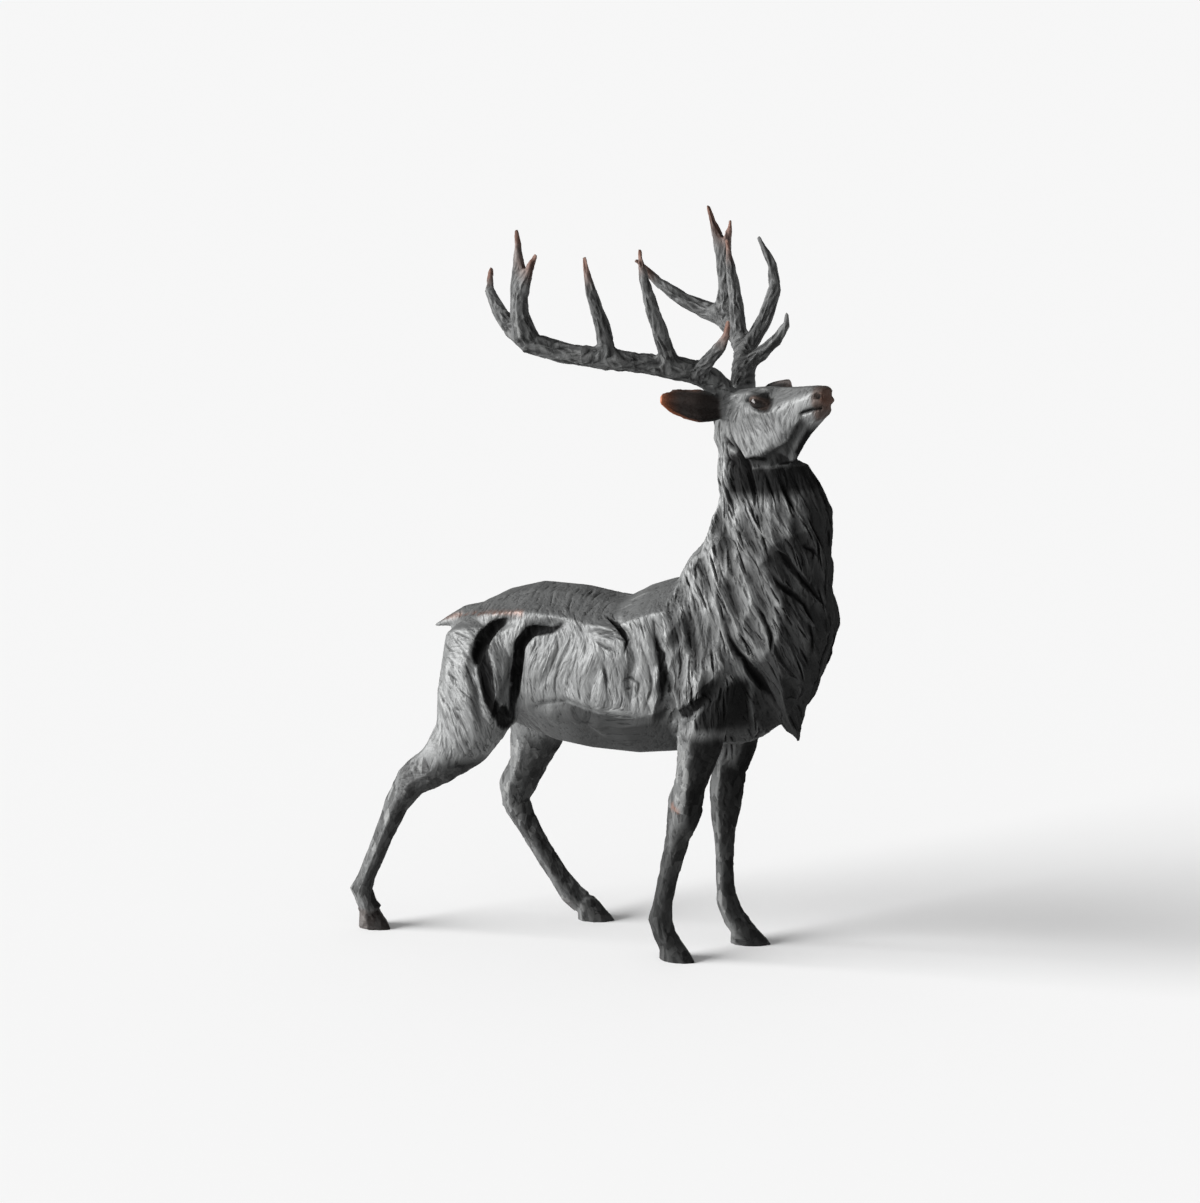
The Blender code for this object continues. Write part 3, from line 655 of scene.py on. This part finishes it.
to_tip = np.minimum.reduce([np.linalg.norm(on_the_head - np.array(tip), axis=1) for tip in TINE_TIPS])
rim = ramp(0.7, 0.95, np.abs(ear_over)) * ramp(26, 40, off_middle)
copper = np.maximum(0.55 * ramp(TIP_LENGTH, 3, to_tip) * belongs["antler"],
                    belongs["ear"] * np.maximum(ramp(44, 56, off_middle), rim))
copper *= np.where((hy > 0) & (belongs["ear"] > 0), 0.2, 1)
copper = np.maximum(copper, 0.28 * ramp(81, 84, hx) * belongs["head"])
for course, strength, half_width in COPPER_LINES:
    copper = np.maximum(copper, strength * near_course(course, half_width))
brown = np.maximum.reduce([
    ramp(74, 78, hx) * belongs["head"],
    0.9 * belongs["ear"] * inner_ear * np.where(hy > 0, 0.3, 1),
    ramp(2.0, 1.5, eye) * on_side,
    0.5 * belongs["hoof"] * ramp(-20, -60, x),
])

# Where soot and painted shade lie. Soot fills the cuts; painted shade darkens the back, the belly, the mane's
# front and the legs' fronts.
# where the painted shade on the mane's front begins, at each height
MANE_SHADE_FRONT = [  # up, and how far forward the dark front begins
    (205, 131), (212, 138), (226, 148), (246, 153), (265, 143), (284, 140),
    (292, 152), (298, 168), (317, 161), (332, 155), (343, 155), (360, 154),
]
# a strip of painted shade along the haunch's valley
VALLEY_SHADE_COURSE = [(479, 652), (477, 668), (481, 684), (488, 700), (496, 714)]  # in pixels
VALLEY_SHADE_HALF_WIDTH = 5.5
NOSE_BRIDGE = [(36, -12), (40, -12.6), (68, -2.4), (76, 0)]
# the way the legs' shaded fronts face; planes facing it get painted shade
SHADED_LEG_FACING = Vector((0.8, -0.6, -0.15)).normalized()
KNEE = (84, 104)
NEAR_LEG_EDGE = 92  # how far forward the near fore leg's dark plane begins
NEAR_LEG_EDGE_UP = 110  # the height at which it begins there
NEAR_LEG_EDGE_SLOPE = 0.12  # how much further forward it begins for each unit higher

broad = smoothed(outward, 6)
# painted shade: the back's upward-facing top is darkened, as the light comes low from the side
back = ramp(0.45, 0.75, smoothed(outward[:, 2], 20)) * ramp(206, 216, z) * ramp(84, 66, x) * belongs["coat"]
on_fore = ramp(40, 60, x)
above_knee = ramp(*KNEE, z)
near_leg = above_knee * on_fore * (y < 0)
leg_edge = NEAR_LEG_EDGE + NEAR_LEG_EDGE_SLOPE * (z - NEAR_LEG_EDGE_UP)
# painted shade: leg planes facing forward and right, away from the low light
front = ramp(0.4, 0.56, smoothed(outward, 2) @ np.array(SHADED_LEG_FACING))
front *= 1 - near_leg * ramp(2, -2, x - leg_edge)
# how dark the legs' lit planes are, and how much painted shade lies on their fronts
light_plane = 0.24 + 0.16 * on_fore * (1 - above_knee)
shaded_plane = 0.74 + 0.08 * on_fore + 0.12 * on_fore * above_knee
# painted shade on the chest between the fore legs
painted_chest_shade = ramp(98, 106, x) * ramp(134, 128, x) * ramp(206, 194, z) * (0.62 + 0.33 * ramp(156, 168, z))
# painted shadow on the throat under the jaw
painted_throat_shade = ramp(4, 10, hx) * ramp(-74, -64, hz) * ramp(-38, -42, hz) * (1 - belongs["head"])
# painted shade on the head's downward-facing undersides
painted_underside_shade = ramp(-0.15, -0.5, broad[:, 2]) * belongs["head"] * ramp(4, 12, hx) * ramp(76, 66, hx)
bridge = ramp(-0.8, 0.8, hz - np.interp(hx, *zip(*NOSE_BRIDGE))) * ramp(34, 39, hx) * belongs["head"]
# soot in the cuts and hollows, with painted shade on the back, belly, mane front, leg fronts, chest, throat,
# jaw and valleys
soot_and_shade = np.maximum.reduce([
    np.clip(hair_cuts / 0.7, 0, 1) ** 1.5 * (0.45 + 0.2 * shaggy),
    np.clip((slit_cuts - 0.3) / 1.3, 0, 1),
    np.clip(deep_cuts / 2.5, 0, 1),
    # painted shade: the valleys round the flank are blackened
    ramp(0.25, 0.8, valley_cuts) * (1 - 0.16 * np.clip(hair_cuts / 0.5, 0, 1)),
    0.85 * np.clip((lock_cuts - 1.0) / 2.2, 0, 1),
    0.6 * np.clip(nick_cuts / 0.5, 0, 1),
    0.75 * np.clip((bark_cuts + down_cuts) / 0.9, 0, 1),
    np.clip(hollowness / 1.6, 0, 1),
    # painted shade along the haunch's valley
    np.clip(2 * near_course(VALLEY_SHADE_COURSE, VALLEY_SHADE_HALF_WIDTH), 0, 1),
    0.42 * back,
    # painted shade on the belly's downward-facing underside
    belly * (0.45 + 0.33 * ramp(-12, 8, x)) * ramp(-1.2, -0.6, broad[:, 2]),
    belongs["leg"] * (light_plane + (shaded_plane - light_plane) * front),
    # painted shade on the mane's front, turned from the light
    0.86 * mane * ramp(-3, 3, x - np.interp(z, *zip(*MANE_SHADE_FRONT))),
    0.36 * belongs["antler"],
    painted_chest_shade * (1 - belongs["leg"]),
    0.96 * painted_throat_shade,
    0.98 * painted_underside_shade,
    # painted shade under the jaw
    0.85 * under_jaw,
    0.42 * bridge,
    0.35 * ramp(75, 79, hx) * belongs["head"],
    0.8 * ramp(42, 28, off_middle) * belongs["ear"],
    0.55 * inner_ear * (0.6 + 0.4 * ear_ridges),
    np.clip(mouth + nostril, 0, 1) * on_face,
    0.8 * socket,
])

put_vertices(stag.data, carved)
mark_vertices(stag.data, {
    # soot in the cuts together with painted shade
    "soot_and_shade": soot_and_shade,
    "worn": np.clip(-hollowness, 0, 1),
    "copper": copper,
    "brown": brown,
    "chiselled": np.clip(belongs["leg"] + 0.8 * belongs["antler"], 0, 1),
    "eye": np.clip(ball * 3, 0, 1),
})
thin = stag.modifiers.new("thin", "DECIMATE")
thin.ratio = FINISHED_TRIANGLES / (2 * len(stag.data.polygons))
stag.data = evaluated_mesh(stag)
stag.modifiers.remove(thin)
stag.data.name = "carved_stag"
stag.data.polygons.foreach_set("use_smooth", [True] * len(stag.data.polygons))
stag.data.set_sharp_from_angle(angle=SHARP_ANGLE)

# Scratches finer than the skin's grain run with the hair; each of three ways has its share at every vertex.
SCRATCH_WAYS = {"forward": (0.45, 0, -1), "backward": (-0.35, 0, -1), "lengthwise": (-1, 0, -0.1)}
SCRATCH_SPACING = 6
hair_points = scattered(SCRATCH_SPACING)
hair_ways = lie_of_hair(hair_points)
hair_tree = planted(hair_points)
finished = on_figure(vertex_values(stag.data, "co"))
nearest = hair_ways[[hair_tree.find(point)[1] for point in finished]]
squared_ways = [np.array(Vector(way).normalized()) for way in SCRATCH_WAYS.values()]
shares = np.stack([np.abs(nearest @ way) ** 6 for way in squared_ways])
shares /= shares.sum(0) + 1e-6
mark_vertices(stag.data, dict(zip(SCRATCH_WAYS, shares)))

# The iron: dark grey and mottled, scratched along the hair, faceted by the chisel on the legs and antlers,
# worn bright on proud edges, with copper and brown where hands rub it, soot in every hollow and painted shade
# on the planes turned from the light.
DARK_IRON = (0.078, 0.080, 0.080, 1)
PALE_IRON = (0.166, 0.169, 0.168, 1)
WORN_IRON = (0.25, 0.252, 0.248, 1)
# black for soot, for painted shade, for the scratches and for dark facets
SOOT_AND_SHADE = (0.004, 0.004, 0.004, 1)
COPPER = (0.26, 0.085, 0.035, 1)
BROWN = (0.058, 0.034, 0.025, 1)
EYE_BLACK = (0.012, 0.009, 0.008, 1)
CLOUD_SCALE = 38
GRAIN_SCALE = 900
FACET_SIZE = (0.0046, 0.0046, 0.010)  # the chisel's facets on the legs and antlers
SCRATCH_SIZE = (0.0034, 0.0034, 0.028)  # how far apart the scratches are, and how long
SCRATCH_LINES = 2.6
METAL_SHEEN = 0.38
ROUGHNESS = 0.44
RELIEF_STRENGTH = 0.5
RELIEF_DEPTH = 0.0005
iron = bpy.data.materials.new("dark_cast_iron")
iron.use_nodes = True
tree = iron.node_tree
shader = tree.nodes["Principled BSDF"]


def plug(value, socket):
    """Feeds a socket from another socket, or sets it to a value."""
    if isinstance(value, bpy.types.NodeSocket):
        tree.links.new(value, socket)
    else:
        socket.default_value = value


def arithmetic(kind, *values):
    """One step of arithmetic on sockets or numbers."""
    made = tree.nodes.new("ShaderNodeMath")
    made.operation = kind
    for socket, value in zip(made.inputs, values):
        plug(value, socket)
    return made.outputs[0]


def clamped(kind, *values):
    """The same, kept between 0 and 1."""
    made = arithmetic(kind, *values)
    made.node.use_clamp = True
    return made


def blend(share, first, second):
    """A colour between two colours."""
    made = tree.nodes.new("ShaderNodeMix")
    made.data_type = "RGBA"
    plug(share, made.inputs[0])
    plug(first, made.inputs[6])
    plug(second, made.inputs[7])
    return made.outputs[2]


def mark(name):
    """What is kept under a name at every vertex."""
    source = tree.nodes.new("ShaderNodeAttribute")
    source.attribute_name = name
    return source.outputs["Fac"]


def stretched(size, turn=0.0):
    """The place on the stag, drawn out to a size and turned in the plane of the body."""
    turned = tree.nodes.new("ShaderNodeMapping")
    turned.vector_type = "TEXTURE"
    turned.inputs["Rotation"].default_value = (0, turn, 0)
    turned.inputs["Scale"].default_value = size
    tree.links.new(place, turned.inputs["Vector"])
    return turned.outputs["Vector"]


def mottle(where, scale, detail):
    """Soft noise."""
    source = tree.nodes.new("ShaderNodeTexNoise")
    source.inputs["Scale"].default_value = scale
    source.inputs["Detail"].default_value = detail
    tree.links.new(where, source.inputs["Vector"])
    return source.outputs["Fac"]


place = tree.nodes.new("ShaderNodeTexCoord").outputs["Object"]
clouds = mottle(place, CLOUD_SCALE, 4.0)
grains = mottle(place, GRAIN_SCALE, 2.0)
scratches = 0.0
for name, way in SCRATCH_WAYS.items():
    across = mottle(stretched(SCRATCH_SIZE, math.atan2(-way[0], -way[2])), 1.0, 1.5)
    wave = arithmetic("FRACT", arithmetic("MULTIPLY", across, SCRATCH_LINES))
    furrow = clamped("ABSOLUTE", arithmetic("SUBTRACT", wave, 0.5))
    share = clamped("MULTIPLY", mark(name), clamped("MULTIPLY", furrow, 2.0))
    scratches = clamped("ADD", scratches, share)
scratched = clamped("MULTIPLY", arithmetic("SUBTRACT", scratches, 0.72), 3.5)
facets = tree.nodes.new("ShaderNodeTexVoronoi")
facets.inputs["Scale"].default_value = 1.0
tree.links.new(stretched(FACET_SIZE), facets.inputs["Vector"])
dark_facets = clamped("MULTIPLY", arithmetic("SUBTRACT", facets.outputs["Color"], 0.42), 2.6)
pale_facets = clamped("MULTIPLY", arithmetic("SUBTRACT", 0.34, facets.outputs["Color"]), 5.0)

body = blend(clouds, DARK_IRON, PALE_IRON)
for share, colour in (
    (clamped("MULTIPLY", mark("chiselled"), clamped("MULTIPLY", pale_facets, 0.6)), WORN_IRON),
    (clamped("MULTIPLY", mark("chiselled"), clamped("MULTIPLY", dark_facets, 0.7)), SOOT_AND_SHADE),
    (clamped("MULTIPLY", mark("worn"), 0.8), WORN_IRON),
    (clamped("MULTIPLY", scratched, 0.8), SOOT_AND_SHADE),
    (clamped("MULTIPLY", mark("brown"), clamped("ADD", clouds, 0.35)), BROWN),
    (clamped("MULTIPLY", mark("copper"), clamped("ADD", clouds, 0.45)), COPPER),
    # soot in the cuts and painted shade
    (mark("soot_and_shade"), SOOT_AND_SHADE),
    (mark("eye"), EYE_BLACK),
):
    body = blend(share, body, colour)
tree.links.new(body, shader.inputs["Base Color"])
rough = clamped("ADD", ROUGHNESS, clamped("MULTIPLY", grains, 0.2))
rough = clamped("ADD", rough, clamped("MULTIPLY", mark("soot_and_shade"), 0.3))
rough = arithmetic("SUBTRACT", rough, clamped("MULTIPLY", mark("eye"), 0.35))
tree.links.new(rough, shader.inputs["Roughness"])
# iron without soot or painted shade keeps its sheen
bare = clamped("SUBTRACT", 1.0, mark("soot_and_shade"))
tree.links.new(clamped("MULTIPLY", bare, METAL_SHEEN), shader.inputs["Metallic"])
tree.links.new(clamped("ADD", clamped("MULTIPLY", bare, 0.4), 0.03), shader.inputs["Specular IOR Level"])
relief = tree.nodes.new("ShaderNodeBump")
relief.inputs["Strength"].default_value = RELIEF_STRENGTH
relief.inputs["Distance"].default_value = RELIEF_DEPTH
hollows = clamped("MULTIPLY", mark("chiselled"), facets.outputs["Distance"])
height = arithmetic("SUBTRACT", clamped("MULTIPLY", grains, 0.15), scratches)
height = arithmetic("ADD", height, arithmetic("MULTIPLY", hollows, 2.2))
tree.links.new(height, relief.inputs["Height"])
tree.links.new(relief.outputs["Normal"], shader.inputs["Normal"])
stag.data.materials.clear()
stag.data.materials.append(iron)
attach(stag, "root")
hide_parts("stag")
solid.free()

# The studio is a pale matt floor that runs out of sight, on which the stag stands on its four soles. It is
# lit by one soft low light on the camera's left and by a faint glow all round.

FLOOR_REACH = 600
FLOOR_WHITE = (0.9, 0.9, 0.9, 1)
GLOW = 0.334
LOW_LIGHT = 9.5
LOW_LIGHT_FROM = Vector((-0.78, -0.61, 0.22))
LOW_LIGHT_BREADTH = math.radians(46)
floor_form = bmesh.new()
bmesh.ops.create_grid(floor_form, x_segments=1, y_segments=1, size=FLOOR_REACH)
floor = bpy.data.objects.new("floor", bpy.data.meshes.new("floor"))
floor_form.to_mesh(floor.data)
floor_form.free()
bpy.context.scene.collection.objects.link(floor)
pale = bpy.data.materials.new("pale_floor")
pale.use_nodes = True
pale_shader = pale.node_tree.nodes["Principled BSDF"]
pale_shader.inputs["Base Color"].default_value = FLOOR_WHITE
pale_shader.inputs["Roughness"].default_value = 1.0
pale_shader.inputs["Specular IOR Level"].default_value = 0.0
floor.data.materials.append(pale)

world = bpy.data.worlds.new("studio")
world.use_nodes = True
world.node_tree.nodes["Background"].inputs["Color"].default_value = (1, 1, 1, 1)
world.node_tree.nodes["Background"].inputs["Strength"].default_value = GLOW
bpy.context.scene.world = world
sun_data = bpy.data.lights.new("low_light", "SUN")
sun_data.energy = LOW_LIGHT
sun_data.angle = LOW_LIGHT_BREADTH
sun = bpy.data.objects.new("low_light", sun_data)
sun.rotation_euler = LOW_LIGHT_FROM.to_track_quat("Z", "Y").to_euler()
bpy.context.scene.collection.objects.link(sun)
bpy.context.scene.view_settings.view_transform = "Standard"
